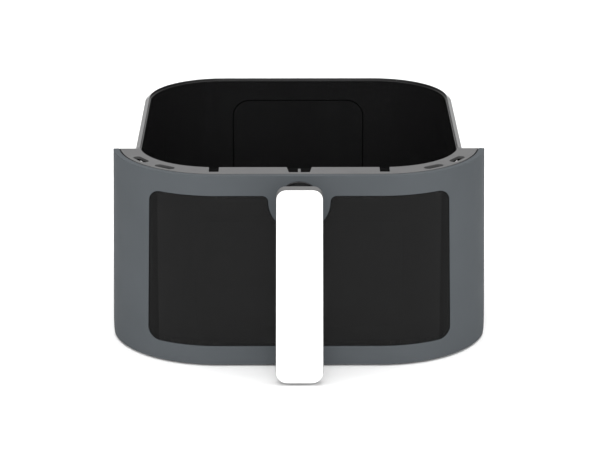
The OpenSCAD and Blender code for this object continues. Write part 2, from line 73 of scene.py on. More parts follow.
# ---- Places read from the frame ----
DRAWER, CRISPER = "drawer", "crisper"
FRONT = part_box("handle_cover")[0].y + HANDLE_REACH
BASE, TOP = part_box("front_shell")[0].z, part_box("front_shell")[1].z
HEIGHT = TOP - BASE
ARC_X = 64 * MM
WING_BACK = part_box("front_shell")[1].y - FRONT
DISH_LOW, DISH_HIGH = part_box("handle_dish")
DISH_Z = (DISH_LOW.z + DISH_HIGH.z) / 2
PAN_LOW, PAN_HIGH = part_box("pan")
RIM_R = PAN_R + RIM_W
RIM_Z = PAN_HIGH.z
RIM_LOW = RIM_Z - RIM_H
PAN_CX = PAN_HIGH.x - RIM_R
PAN_BACK = PAN_HIGH.y - RIM_R
PAN_FRONT = PAN_LOW.y + RIM_R


# ---- Points and outlines ----

def arc(centre, r, start, end, steps=10):
    """Points of an arc, with its angles in degrees."""
    turns = [math.radians(start + (end - start) * i / steps) for i in range(steps + 1)]
    return [(centre[0] + r * math.cos(a), centre[1] + r * math.sin(a)) for a in turns]


def mirrored(side):
    """Closes a right-hand outline with its mirror image."""
    return side + [(-x, z) for x, z in reversed(side)]


def trapezoid_side(top_half, low_half, low, high, r_top, r_low):
    """Right side of a trapezoid with round corners, tangent to the straight side between them."""
    top = Vector((top_half - r_top, high - r_top))
    bottom = Vector((low_half - r_low, low + r_low))
    run = bottom - top
    lean = math.degrees(math.atan2(run.y, run.x) + math.acos((r_top - r_low) / run.length))
    return arc(bottom, r_low, -90, lean) + arc(top, r_top, lean, 90)


def round_rect(half_w, low, high, r, steps=8):
    """Outline of a rectangle with round corners, centred on X = 0."""
    x = half_w - r
    return mirrored(arc((x, low + r), r, -90, 0, steps) + arc((x, high - r), r, 0, 90, steps))


def contour(r, steps=20):
    """Outline in X and Y at radius r from the pan's four corner centres."""
    right = arc((PAN_CX, PAN_FRONT), r, -90, 0, steps) + arc((PAN_CX, PAN_BACK), r, 0, 90, steps)
    return mirrored(right)


# ---- Mesh building ----

def new_object(name, bm, smooth=38):
    """Makes an object from bm, smooth except along edges sharper than the given angle."""
    bmesh.ops.recalc_face_normals(bm, faces=bm.faces)
    mesh = bpy.data.meshes.new(name)
    bm.to_mesh(mesh)
    bm.free()
    return finish_object(name, mesh, smooth)


def finish_object(name, mesh, smooth):
    """Puts a mesh in the scene as a smooth-shaded object that keeps its sharp edges."""
    mesh.polygons.foreach_set("use_smooth", [True] * len(mesh.polygons))
    mesh.set_sharp_from_angle(angle=math.radians(smooth))
    obj = bpy.data.objects.new(name, mesh)
    bpy.context.scene.collection.objects.link(obj)
    weigh = obj.modifiers.new("weighted_normals", "WEIGHTED_NORMAL")
    weigh.keep_sharp = True
    return obj


def evaluated_mesh(obj):
    """The object's mesh with its modifiers, as a new mesh."""
    return bpy.data.meshes.new_from_object(obj.evaluated_get(bpy.context.evaluated_depsgraph_get()))


def skin(rings, loop=False):
    """Joins rings of points with quads. The ends are capped, or joined to each other if loop is true."""
    bm = bmesh.new()
    verts = [[bm.verts.new(p) for p in ring] for ring in rings]
    pairs = list(zip(verts, verts[1:] + verts[:1])) if loop else list(zip(verts, verts[1:]))
    for a, b in pairs:
        for i in range(len(a)):
            j = (i + 1) % len(a)
            bm.faces.new((a[i], a[j], b[j], b[i]))
    if not loop:
        bm.faces.new(verts[0])
        bm.faces.new(list(reversed(verts[-1])))
    return bm


def prism(outline, low, high):
    """An outline in X and Y, extruded along Z."""
    return skin([[(x, y, low) for x, y in outline], [(x, y, high) for x, y in outline]])


def slab(outlines, thickness, edge, steps=3):
    """A plate between z = 0 and its thickness, with rounded edges. Inner outlines are holes."""
    curve = bpy.data.curves.new("slab", "CURVE")
    curve.dimensions = "2D"
    curve.fill_mode = "BOTH"
    curve.extrude = thickness / 2 - edge
    curve.bevel_depth = edge
    curve.bevel_resolution = steps
    curve.offset = -edge
    for outline in outlines:
        spline = curve.splines.new("POLY")
        spline.points.add(len(outline) - 1)
        for point, (x, y) in zip(spline.points, outline):
            point.co = (x, y, 0, 1)
        spline.use_cyclic_u = True
    obj = bpy.data.objects.new("slab", curve)
    bpy.context.scene.collection.objects.link(obj)
    mesh = evaluated_mesh(obj)
    bpy.data.objects.remove(obj)
    bm = bmesh.new()
    bm.from_mesh(mesh)
    bpy.data.meshes.remove(mesh)
    bmesh.ops.remove_doubles(bm, verts=bm.verts, dist=1e-6)
    bmesh.ops.translate(bm, verts=bm.verts, vec=(0, 0, thickness / 2))
    return bm


def boolean(bm, *cutters, operation="DIFFERENCE"):
    """bm after a boolean with each cutter, which are used up."""
    body = new_object("body", bm)
    body.modifiers.clear()
    for cutter in cutters:
        tool = new_object("cutter", cutter)
        tool.modifiers.clear()
        step = body.modifiers.new("boolean", "BOOLEAN")
        step.object = tool
        step.operation = operation
        step.solver = "EXACT"
        mesh = evaluated_mesh(body)
        body.modifiers.clear()
        body.data = mesh
        bpy.data.objects.remove(tool)
    result = bmesh.new()
    result.from_mesh(body.data)
    bpy.data.objects.remove(body)
    bmesh.ops.remove_doubles(result, verts=result.verts, dist=2e-6)
    return result


def round_edges(bm, offset, steps=3, angle=40):
    """Rounds every edge that is sharper than the given angle."""
    sharp = [e for e in bm.edges if e.calc_face_angle(0) > math.radians(angle)]
    bmesh.ops.bevel(bm, geom=sharp, offset=offset, segments=steps, profile=0.5, affect="EDGES")
    return bm


def slice_x(bm, cuts):
    """Adds an edge loop at each X in cuts, so that the mesh can bend there."""
    for x in cuts:
        everything = bm.verts[:] + bm.edges[:] + bm.faces[:]
        bmesh.ops.bisect_plane(bm, geom=everything, plane_co=(x, 0, 0), plane_no=(1, 0, 0), dist=1e-6)
    return bm


def turned(bm, matrix):
    """bm after it has been moved by the matrix."""
    bmesh.ops.transform(bm, matrix=matrix, verts=bm.verts)
    return bm


def stood(bm, y):
    """Stands a slab made in X and Y up in X and Z, from the given y backwards."""
    return turned(bm, Matrix(((1, 0, 0, 0), (0, 0, 1, y), (0, 1, 0, 0), (0, 0, 0, 1))))


def joined(parts):
    """One bmesh with all the parts."""
    whole = bmesh.new()
    for part in parts:
        mesh = bpy.data.meshes.new("part")
        part.to_mesh(mesh)
        part.free()
        whole.from_mesh(mesh)
        bpy.data.meshes.remove(mesh)
    return whole


# ---- Wrapping plates round the front ----

def face_r(z):
    """Radius of the front's corner arcs at height z."""
    return CORNER_R + FLARE * (TOP - z) / HEIGHT


def unroll(points, inset=0):
    """Moves an outline in X and Z to the unrolled frame, for a skin at that depth below the surface."""
    flat = []
    for x, z in points:
        over = (abs(x) - ARC_X) / (face_r(z) - inset)
        reach = abs(x) if over <= 0 else ARC_X + CORNER_R * math.asin(min(1, over))
        flat.append((math.copysign(reach, x), z))
    return flat


def through(outline):
    """A cutter whose sides run straight along Y once it is wrapped, deep enough to pass the wall."""
    depths = (-1 * MM, 2 * WALL)
    return skin([[(x, z, depth) for x, z in unroll(outline, depth)] for depth in depths])


def wing_reach(y, z):
    """Arc length at which the front's surface passes depth y behind its face."""
    return ARC_X + CORNER_R * math.acos((CORNER_R - y) / face_r(z))


def wrap(bm, step=1.5):
    """Wraps a plate in the unrolled frame, where Z is depth below the surface, round the front's plan."""
    reach = max(abs(v.co.x) for v in bm.verts)
    pitch = CORNER_R * math.radians(step)
    count = int((reach - ARC_X) / pitch)
    slice_x(bm, [s * (ARC_X + k * pitch) for s in (-1, 1) for k in range(count + 1)])
    for v in bm.verts:
        turn = max(0, abs(v.co.x) - ARC_X) / CORNER_R
        side = math.copysign(1, v.co.x)
        r = face_r(v.co.y) - v.co.z
        x = side * (min(abs(v.co.x), ARC_X) + r * math.sin(turn))
        v.co = (x, FRONT + CORNER_R - r * math.cos(turn), v.co.y)
    return bm


# ---- Materials ----

class Nodes:
    """A new material with shortcuts for the few nodes that these materials use."""

    def __init__(self, name):
        self.material = bpy.data.materials.new(name)
        self.material.use_nodes = True
        self.tree = self.material.node_tree
        self.shader = self.tree.nodes["Principled BSDF"]
        self.place = self.tree.nodes.new("ShaderNodeTexCoord").outputs["Object"]

    def set(self, **values):
        """Sets the shader's inputs to constants."""
        for key, value in values.items():
            self.shader.inputs[key.replace("_", " ")].default_value = value

    def noise(self, size, detail=2.0, stretch=(1, 1, 1), distortion=0.0):
        """Noise whose features are about size metres across."""
        scale = self.tree.nodes.new("ShaderNodeMapping")
        scale.inputs["Scale"].default_value = [s / size for s in stretch]
        self.tree.links.new(self.place, scale.inputs["Vector"])
        noise = self.tree.nodes.new("ShaderNodeTexNoise")
        noise.inputs["Scale"].default_value = 1.0
        noise.inputs["Detail"].default_value = detail
        noise.inputs["Distortion"].default_value = distortion
        self.tree.links.new(scale.outputs["Vector"], noise.inputs["Vector"])
        return noise.outputs["Fac"]

    def ramp(self, source, low, high, start=0.0, end=1.0):
        """Maps source from start..end to low..high, for numbers or colours."""
        ramp = self.tree.nodes.new("ShaderNodeValToRGB")
        ramp.color_ramp.elements[0].position = start
        ramp.color_ramp.elements[1].position = end
        for element, value in zip(ramp.color_ramp.elements, (low, high)):
            element.color = (*value, 1) if hasattr(value, "__len__") else (value, value, value, 1)
        self.tree.links.new(source, ramp.inputs["Fac"])
        return ramp.outputs["Color"]

    def span(self, source, start, end):
        """Maps source from start..end to 0..1, clamped."""
        span = self.tree.nodes.new("ShaderNodeMapRange")
        span.inputs["From Min"].default_value = start
        span.inputs["From Max"].default_value = end
        self.tree.links.new(source, span.inputs["Value"])
        return span.outputs["Result"]

    def link(self, source, socket):
        """Feeds a node's output to one of the shader's inputs."""
        self.tree.links.new(source, self.shader.inputs[socket])

    def bump(self, source, height, strength=1.0):
        """Adds a bump of that height in metres on top of any bump made before."""
        bump = self.tree.nodes.new("ShaderNodeBump")
        bump.inputs["Strength"].default_value = strength
        bump.inputs["Distance"].default_value = height
        self.tree.links.new(source, bump.inputs["Height"])
        if self.shader.inputs["Normal"].links:
            before = self.shader.inputs["Normal"].links[0].from_socket
            self.tree.links.new(before, bump.inputs["Normal"])
        self.tree.links.new(bump.outputs["Normal"], self.shader.inputs["Normal"])


def scaled(colour, factor):
    """The colour made darker or lighter."""
    return [c * factor for c in colour]


def moulded_plastic(name, colour, roughness, grain=0.35 * MM, depth=0.012 * MM, gloss=0.5):
    """Satin plastic with a spark-eroded grain, faint mottling and smudges in its gloss."""
    n = Nodes(name)
    n.set(Specular_IOR_Level=gloss)
    mottle, smudges = n.noise(45 * MM, 3), n.noise(18 * MM, 4, distortion=0.6)
    n.link(n.ramp(mottle, scaled(colour, 0.965), scaled(colour, 1.035), 0.3, 0.7), "Base Color")
    n.link(n.ramp(smudges, roughness - 0.035, roughness + 0.045, 0.3, 0.7), "Roughness")
    n.bump(n.noise(6 * MM, 1), 0.02 * MM, 0.5)
    n.bump(n.noise(grain, 2), depth, 0.8)
    return n.material


def gloss_plastic(name, colour, roughness):
    """Smooth moulded plastic with a faint flow ripple and handling marks in its gloss."""
    n = Nodes(name)
    n.set(Specular_IOR_Level=0.5, Coat_Weight=0.25, Coat_Roughness=0.08)
    flow, marks = n.noise(60 * MM, 2), n.noise(14 * MM, 5, distortion=0.8)
    n.link(n.ramp(flow, scaled(colour, 0.985), colour, 0.3, 0.7), "Base Color")
    n.link(n.ramp(marks, roughness - 0.04, roughness + 0.05, 0.35, 0.7), "Roughness")
    n.bump(n.noise(9 * MM, 1), 0.02 * MM, 0.4)
    return n.material


def coated_metal(name, colour, roughness, gloss=0.5):
    """A thin dark coating on sheet metal, with fine mineral specks and a slight orange peel."""
    n = Nodes(name)
    n.set(Specular_IOR_Level=gloss)
    specks, haze = n.noise(0.5 * MM, 1), n.noise(25 * MM, 4, distortion=0.5)
    n.link(n.ramp(specks, colour, scaled(colour, 2.6), 0.68, 0.8), "Base Color")
    n.link(n.ramp(haze, roughness - 0.03, roughness + 0.05, 0.3, 0.7), "Roughness")
    n.bump(n.noise(2.2 * MM, 1), 0.01 * MM, 0.6)
    return n.material


def rolled_metal(name, colour, roughness, stretch=(1, 14, 14)):
    """Sheet steel with a rolling grain along X and a thin plating."""
    n = Nodes(name)
    n.set(Metallic=1.0)
    n.link(n.ramp(n.noise(12 * MM, 3), scaled(colour, 0.88), scaled(colour, 1.1), 0.3, 0.7), "Base Color")
    n.link(n.ramp(n.noise(6 * MM, 4, stretch), roughness - 0.08, roughness + 0.1, 0.3, 0.7), "Roughness")
    n.bump(n.noise(3 * MM, 3, stretch), 0.01 * MM, 0.5)
    return n.material


def rubber(name, colour, roughness=0.72):
    """Matt rubber or silicone with a dusty bloom."""
    n = Nodes(name)
    n.set(Specular_IOR_Level=0.35, Sheen_Weight=0.12, Sheen_Roughness=0.5)
    n.link(n.ramp(n.noise(5 * MM, 4), scaled(colour, 0.9), scaled(colour, 1.15), 0.3, 0.7), "Base Color")
    n.link(n.ramp(n.noise(2 * MM, 2), roughness - 0.05, roughness + 0.08, 0.3, 0.7), "Roughness")
    n.bump(n.noise(0.4 * MM, 2), 0.015 * MM, 0.7)
    return n.material


def glass(name, tint, ior):
    """Tinted sheet glass with a faint smear in its polish."""
    n = Nodes(name)
    n.set(Base_Color=(*tint, 1), IOR=ior, Transmission_Weight=1.0)
    n.link(n.ramp(n.noise(30 * MM, 4, distortion=0.7), 0.0, 0.02, 0.4, 0.75), "Roughness")
    n.bump(n.noise(70 * MM, 1), 0.02 * MM, 0.3)
    return n.material


def smoked_glass(name, smoke, painted_side_shade, ior):
    """Smoked glass with a slight haze, made near black down each side of the pane as painted shade of the
    space behind it.
    """
    edge, blur = 112 * MM, 0.6 * MM
    n = Nodes(name)
    n.set(IOR=ior, Transmission_Weight=0.8)
    split = n.tree.nodes.new("ShaderNodeSeparateXYZ")
    reach = n.tree.nodes.new("ShaderNodeMath")
    reach.operation = "ABSOLUTE"
    n.tree.links.new(n.place, split.inputs["Vector"])
    n.tree.links.new(split.outputs["X"], reach.inputs[0])
    # Painted shade: past the edge the glass turns near black, for the shade behind the pane's sides
    painted_shade_mask = n.span(reach.outputs["Value"], edge - blur, edge)
    n.link(n.ramp(painted_shade_mask, smoke, painted_side_shade), "Base Color")
    n.link(n.ramp(n.noise(30 * MM, 4, distortion=0.7), 0.0, 0.03, 0.4, 0.75), "Roughness")
    n.bump(n.noise(70 * MM, 1), 0.02 * MM, 0.2)
    return n.material


SHELL = moulded_plastic("shell_plastic", (0.0755, 0.083, 0.0895), 0.5, gloss=0.008)
LEDGE = moulded_plastic("ledge_plastic", (0.073, 0.073, 0.074), 0.5)
BLACK = moulded_plastic("black_plastic", (0.006, 0.006, 0.0065), 0.6, gloss=0.1)
FINE_GRAIN = 0.25 * MM
HANDLE_GREY = moulded_plastic("handle_grey_plastic", (0.07, 0.07, 0.07), 0.4, FINE_GRAIN)
NECK = moulded_plastic("neck_plastic", (0.1, 0.102, 0.106), 0.4, FINE_GRAIN)
WHITE = gloss_plastic("handle_white_plastic", (0.93, 0.93, 0.925), 0.28)
DISH = gloss_plastic("dish_plastic", (0.02, 0.02, 0.022), 0.22)
COATING = coated_metal("non_stick_coating", (0.008, 0.008, 0.0082), 0.12)
# Darker and matt: painted shade on the pan under the ledge and inside its groove
MATT_SHADE_COATING = coated_metal("matt_painted_shade_coating", (0.002, 0.002, 0.002), 0.6, gloss=0.03)
# Painted shade: the heat shield, inner window frame and handle bracket are near black, so that what shows
# of them through the slots is as dark as the shade there
SHADE_BLACK_STEEL = coated_metal("painted_shade_steel", (0.005, 0.005, 0.0052), 0.6, gloss=0.1)
# Painted shade: the rim clips' steel is near black, as dark as the shade in the ledge's clip notches
SPRING_SHADE = rolled_metal("spring_steel", (0.03, 0.03, 0.031), 0.4)
ZINC = rolled_metal("zinc_plate", (0.55, 0.56, 0.58), 0.3, stretch=(1, 1, 1))
SEAL = rubber("seal_rubber", (0.012, 0.012, 0.013))
SILICONE = rubber("foot_silicone", (0.26, 0.035, 0.028), 0.6)
# The second colour is painted shade down the pane's sides
SMOKED = smoked_glass("smoked_glass", 0.024, 0.002, 1.2)
CLEAR = glass("clear_glass", (0.85, 0.88, 0.88), 1.4)


def dress(obj, material, body, slot, *nodes):
    """Gives a piece its material and its body, and hides the CAD nodes that it stands for. The slot
    argument is not used.
    """
    obj.data.materials.clear()
    obj.data.materials.append(material)
    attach(obj, body)
    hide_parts(*nodes)
    return obj


def dress_node(node, material):
    """Gives a CAD node its material, and softens its sharp edges."""
    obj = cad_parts[node]
    obj.data.materials.clear()
    obj.data.materials.append(material)
    weld = obj.modifiers.new("weld", "WELD")
    weld.merge_threshold = 1e-6
    bevel = obj.modifiers.new("soft_edges", "BEVEL")
    bevel.width = 0.25 * MM
    bevel.segments = 2
    bevel.limit_method = "ANGLE"
    bevel.angle_limit = math.radians(50)
    return obj


# ---- Front shell ----

WINDOW_TOP = TOP - 16.5 * MM
WINDOW_LOW = WINDOW_TOP - 124.2 * MM
WINDOW_HALF = 118 * MM
WINDOW_SPREAD = 2.5 * MM
WINDOW_TOP_R, WINDOW_LOW_R = 9 * MM, 9.5 * MM
BOSS_R = 24.3 * MM


def window_outline(grow=0.0):
    """The window's outline in X and Z, which bends round the boss behind the handle."""
    fillet_r = 5 * MM
    fillet = Vector((0, WINDOW_TOP - fillet_r))
    fillet.x = math.sqrt((BOSS_R + fillet_r) ** 2 - (fillet.y - DISH_Z) ** 2)
    turn = math.degrees(math.atan2(fillet.y - DISH_Z, fillet.x))
    half = WINDOW_HALF + grow
    side = trapezoid_side(half, half + WINDOW_SPREAD, WINDOW_LOW - grow, WINDOW_TOP + grow,
                          WINDOW_TOP_R + grow, WINDOW_LOW_R + grow)
    side += arc(fillet, fillet_r + grow, 90, 180 + turn)
    side += arc((0, DISH_Z), BOSS_R - grow, turn, -90, 24)[1:-1]
    return mirrored(side)


def front_shell():
    """The grey front: a wall with an inner lip along its top, cut out for window, dish and wing ends."""
    far, margin = 260 * MM, 1 * MM
    # Beside the ledge the lip has a step, which leaves a shallow groove between them
    step_w, step_z = LIP_W + 1 * MM, TOP - 1.6 * MM
    section = [(0, BASE), (WALL, BASE), (WALL, TOP - LIP_T), (step_w, TOP - LIP_T), (step_w, step_z)]
    section += [(LIP_W, step_z), (LIP_W, TOP), (0, TOP)]
    wall = skin([[(x, z, depth) for depth, z in section] for x in (-far, far)])
    window = through(window_outline())
    dish = through(arc((0, DISH_Z), DISH_R, 0, 360, 72)[:-1])

    bend = (WING_BACK - WING_R, BASE + WING_R)
    rear = [(wing_reach(y, z), z) for y, z in arc(bend, WING_R, -90, 0, 12)]
    rear += [(wing_reach(WING_BACK, z), z) for z in (BASE + HEIGHT / 2, TOP + margin)]
    beyond = [(wing_reach(bend[0], BASE), BASE - margin)] + rear
    beyond += [(far + margin, TOP + margin), (far + margin, BASE - margin)]
    ends = [prism([(s * x, z) for x, z in beyond], -far, far) for s in (-1, 1)]
    shell = boolean(wall, window, dish, *ends)
    round_edges(shell, 0.45 * MM)
    return dress(new_object("shell", wrap(shell)), SHELL, DRAWER, "shell_grey", "front_shell")


def ledge():
    """The lighter ledge between the front's lip and the pan, with its vents and notches."""
    thick = 2.4 * MM
    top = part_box("ledge_cover")[1].z
    outer_r = face_r(top) - LIP_W - 1.2 * MM
    centre = (ARC_X, CORNER_R)
    pan_centre = (PAN_CX, PAN_FRONT - FRONT)
    inner_r = PAN_R + 1 * MM
    back = pan_centre[1] - inner_r

    # The tapered notch in the middle, and a clip's notch on each side
    side = [(8.2 * MM, 10.1 * MM), (9.8 * MM, back)]
    clip_x, clip_w, clip_y = 67 * MM, 7.8 * MM, 11.4 * MM
    near_x, far_x = clip_x - clip_w / 2, clip_x + clip_w / 2
    side += [(near_x, back), (near_x, clip_y), (far_x, clip_y)]
    from_clip = -math.degrees(math.acos((far_x - pan_centre[0]) / inner_r))
    to_rear = -math.degrees(math.asin((pan_centre[1] - WING_BACK) / inner_r))
    side += arc(pan_centre, inner_r, from_clip, to_rear, 28)

    # At the wing's rear edge a short tab closes the groove between the ledge and the lip
    tab_len, tab_r = 1.6 * MM, outer_r + 1.1 * MM
    for y in (WING_BACK, WING_BACK - tab_len):
        side.append((ARC_X + math.sqrt(tab_r ** 2 - (CORNER_R - y) ** 2), y))
    to_wing = -math.degrees(math.asin((CORNER_R - WING_BACK + tab_len) / outer_r))
    side += arc(centre, outer_r, to_wing, -90, 36)

    slots = [vent_outline(centre, turn, s) for turn in (33.5, 55.5) for s in (-1, 1)]
    plate = slab([mirrored(side), *slots], thick, 0.2 * MM)
    turned(plate, Matrix.Translation((0, FRONT, top - thick)))
    rim_space = prism(contour(RIM_R + 0.3 * MM, 32), top - 2 * thick, RIM_Z + 0.1 * MM)
    plate = boolean(plate, rim_space)
    return dress(new_object("ledge", plate), LEDGE, DRAWER, "ledge_grey", "ledge_cover")


def vent_outline(centre, turn, side):
    """A vent slot's outline: a stadium that lies along the corner arc."""
    length, width = 18 * MM, 6.4 * MM
    r, reach = width / 2, (length - width) / 2
    stadium = arc((0, reach), r, 0, 180, 12) + arc((0, -reach), r, 180, 360, 12)
    placed = swung(stadium, centre, CORNER_R - 12.3 * MM, math.radians(-turn))
    return [(side * x, y) for x, y in placed]


def swung(outline, centre, radius, turn):
    """An outline moved out along X by a radius, then turned about the centre."""
    points = []
    for x, y in outline:
        px = centre[0] + (radius + x) * math.cos(turn) - y * math.sin(turn)
        py = centre[1] + (radius + x) * math.sin(turn) + y * math.cos(turn)
        points.append((px, py))
    return points


# ---- Outer window ----

def outer_window():
    """The smoked pane, which fills its opening with its face just behind the shell's face."""
    depth, thick, gap = 0.5 * MM, 3 * MM, 0.3 * MM
    pane = slab([unroll(window_outline(-gap), depth)], thick, 0.25 * MM)
    turned(pane, Matrix.Translation((0, 0, depth)))
    return dress(new_object("window_pane", wrap(pane)), SMOKED, DRAWER, "smoked_glass", "outer_window")


# ---- Pan ----

def pan_r(z):
    """Inside radius of the pan's corners at height z."""
    return PAN_R - PAN_DRAFT * (RIM_Z - z) / (RIM_Z - PAN_FLOOR)


def inner_wall_y(z):
    """Y of the inside of the pan's rear wall at height z."""
    return PAN_BACK + pan_r(z)


def pan_profile():
    """The pan's section as (corner radius, height): up the outside, over the rim and down the inside."""
    outer_fillet, inner_fillet = 6.2 * MM, 5 * MM
    heights = [30 * MM, 80 * MM, 120 * MM]
    outside = pan_r(PAN_BASE) + PAN_WALL
    points = [(outside - 3 * outer_fillet, PAN_BASE)]
    points += arc((outside - outer_fillet, PAN_BASE + outer_fillet), outer_fillet, -90, 0, 8)
    points += [(pan_r(z) + PAN_WALL, z) for z in (*heights, RIM_LOW - 3 * MM)]

    # Under the rim, out to its edge and up its sloping side to the crest
    under_r, edge_r, slope_r, crest_r = 0.8 * MM, 0.4 * MM, 0.8 * MM, 0.45 * MM
    points += arc((pan_r(RIM_LOW) + PAN_WALL + under_r, RIM_LOW - under_r), under_r, 180, 90, 4)
    points += arc((RIM_R - edge_r, RIM_LOW + edge_r), edge_r, -90, 0, 4)
    points += arc((RIM_R - slope_r, RIM_LOW + 0.9 * MM), slope_r, 0, 45, 5)
    points += arc((PAN_R + 0.85 * MM, RIM_Z - crest_r), crest_r, 45, 165, 8)

    # A small step inside the rim, then down the wall to the floor
    points += [(PAN_R + 0.2 * MM, RIM_Z - 1.9 * MM), (PAN_R - 0.15 * MM, RIM_Z - 2.05 * MM)]
    points += [(pan_r(z) - 0.25 * MM, z) for z in (RIM_Z - 2.3 * MM, RIM_Z - 3.4 * MM)]
    points += [(pan_r(z), z) for z in (RIM_Z - 5 * MM, *reversed(heights))]
    inside = pan_r(PAN_FLOOR)
    points += arc((inside - inner_fillet, PAN_FLOOR + inner_fillet), inner_fillet, 0, -90, 8)
    points += [(inside - 3 * inner_fillet, PAN_FLOOR)]
    return points


def pan():
    """The pan, with the inner window's opening, the groove in its rear wall and two pressed feet."""
    body = skin([[(x, y, z) for x, y in contour(r, 28)] for r, z in pan_profile()])
    opening = stood(prism(round_rect(84 * MM, 24 * MM, 116 * MM, 8 * MM), 0, 60 * MM), FRONT)
    body = boolean(body, opening, groove(EMBOSS, 1.2 * MM, 0.7 * MM))

    outer = [(13 * MM, 5.6 * MM), (11.2 * MM, 5 * MM), (10.2 * MM, 3.6 * MM), (9.9 * MM, 1.6 * MM),
             (9.2 * MM, 0.5 * MM), (8 * MM, 0)]
    inner = [(10.6 * MM, 7.6 * MM), (9.9 * MM, 7 * MM), (9.1 * MM, 6.2 * MM), (8.6 * MM, 4.4 * MM),
             (8.2 * MM, 2.6 * MM), (7.2 * MM, 1.6 * MM)]
    for s in (-1, 1):
        centre = (s * (PAN_CX - 5 * MM), PAN_BACK + 12 * MM)
        body = boolean(body, lathe(centre, outer), operation="UNION")
        body = boolean(body, lathe(centre, inner))

    pan = dress(new_object("pan_body", body, 30), COATING, DRAWER, "pan_coating", "pan")
    # Painted shade: the rim under the ledge and the groove's inner faces get the darker, matt coating
    pan.data.materials.append(MATT_SHADE_COATING)
    for face in pan.data.polygons:
        face.material_index = int(in_painted_shade(*face.center))
    return pan


def in_painted_shade(x, y, z):
    """True for the rim where it lies under the ledge, and for the faces inside the groove: these get a
    darker, matt coating as painted shade.
    """
    under_ledge = y < FRONT + WING_BACK and z > RIM_LOW - 0.1 * MM
    in_wall = 0.03 * MM < y - inner_wall_y(z) < PAN_WALL - 0.1 * MM
    return under_ledge or (near_panel(x, z) and in_wall)


def lathe(centre, profile, steps=40):
    """A solid turned about an upright axis, from (radius, height) points."""
    rings = []
    for r, z in profile:
        rings.append([(x, y, z) for x, y in arc(centre, r, 0, 360, steps)[:-1]])
    return skin(rings)


EMBOSS_HALF, EMBOSS_LOW, EMBOSS_HIGH = 57.7 * MM, 38.8 * MM, TOP - 21.5 * MM
EMBOSS = round_rect(EMBOSS_HALF, EMBOSS_LOW, EMBOSS_HIGH, 14.5 * MM, 12)


def near_panel(x, z):
    """True within the embossed panel's outline and just round it."""
    margin = 2 * MM
    return abs(x) < EMBOSS_HALF + margin and EMBOSS_LOW - margin < z < EMBOSS_HIGH + margin


def groove(outline, width, depth):
    """A square-edged cutter along an outline on the pan's rear wall."""
    lean = math.atan2(PAN_DRAFT, RIM_Z - PAN_FLOOR)
    out = Vector((0, -math.cos(lean), math.sin(lean)))
    path = [Vector((x, inner_wall_y(z), z)) for x, z in outline]
    rings = []
    for i, point in enumerate(path):
        along = (path[(i + 1) % len(path)] - path[i - 1]).normalized()
        across = along.cross(out).normalized() * width / 2
        rings.append([point + across + out * MM, point - across + out * MM,
                      point - across - out * depth, point + across - out * depth])
    return skin(rings, loop=True)


# ---- Crisper plate ----

CRISPER_LOW, CRISPER_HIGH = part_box("crisper_plate")
CRISPER_R = CRISPER_HIGH.x - PAN_CX
CRISPER_Y = (CRISPER_LOW.y + CRISPER_HIGH.y) / 2


def crisper_plate():
    """A pressed plate with rings of oblong holes, a finger hole and an upright rim."""
    thick, finger_r = 1.6 * MM, 7 * MM
    holes = [arc((0, CRISPER_Y), finger_r, 0, 360, 40)[:-1]]
    for i in range(6):
        ring_r, count = (18 + 13 * i) * MM, 8 + 6 * i
        for k in range(count):
            holes.append(swung(oblong(), (0, CRISPER_Y), ring_r, math.tau * (k + 0.5) / count))
    plate = slab([contour(CRISPER_R - 1.9 * MM), *holes], thick, 0.35 * MM, 2)
    turned(plate, Matrix.Translation((0, 0, CRISPER_LOW.z)))

    base, high, r = CRISPER_LOW.z, CRISPER_HIGH.z, CRISPER_R
    inner_bend, outer_bend, lip_r = 1.7 * MM, 2 * MM, 0.7 * MM
    section = [(r - 3.4 * MM, base + 0.25 * MM), (r - 3.4 * MM, base + thick + 0.2 * MM)]
    section += arc((r - 3.1 * MM, base + thick + inner_bend), inner_bend, -90, 0, 5)
    section += arc((r - lip_r, high - lip_r), lip_r, 180, 0, 8)
    section += arc((r - outer_bend, base + outer_bend), outer_bend, 0, -90, 6)
    rim = skin([[(x, y, z) for x, y in contour(c, 24)] for c, z in section], loop=True)
    tray = new_object("crisper_tray", joined([plate, rim]))
    return dress(tray, COATING, CRISPER, "pan_coating", "crisper_plate")


def oblong():
    """A hole's outline: a stadium along X."""
    r, reach = 2.1 * MM, 2.2 * MM
    return arc((reach, 0), r, -90, 90, 8) + arc((-reach, 0), r, 90, 270, 8)


def crisper_feet():
    """Four silicone feet under the plate's edges, each with a lip up its side."""
    low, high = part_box("crisper_bumpers")
    width, depth, lip, toe_r, gap = 20 * MM, 10 * MM, 0.8 * MM, 5.5 * MM, 0.02 * MM
    half_x, half_y = high.x, high.y - CRISPER_Y
    feet = []
    for turn, reach in ((0, half_x), (90, half_y), (180, half_x), (270, half_y)):
        edge = reach - lip
        side = [(edge - depth, low.z), (edge - toe_r, low.z)]
        side += arc((edge - toe_r, low.z + toe_r), toe_r, -90, 0, 6)
        side += [(edge, high.z - 12 * MM), (reach, high.z - 11.2 * MM), (reach, high.z)]
        side += [(edge + gap, high.z), (edge + gap, CRISPER_LOW.z), (edge - depth, CRISPER_LOW.z)]
        foot = stood(slab([side], width, 0.25 * MM, 2), -width / 2)
        spin = Matrix.Rotation(math.radians(turn), 4, "Z")
        feet.append(turned(foot, Matrix.Translation((0, CRISPER_Y, 0)) @ spin))
    obj = new_object("crisper_feet", joined(feet))
    return dress(obj, SILICONE, CRISPER, "foot_silicone", "crisper_bumpers")


# ---- Handle ----

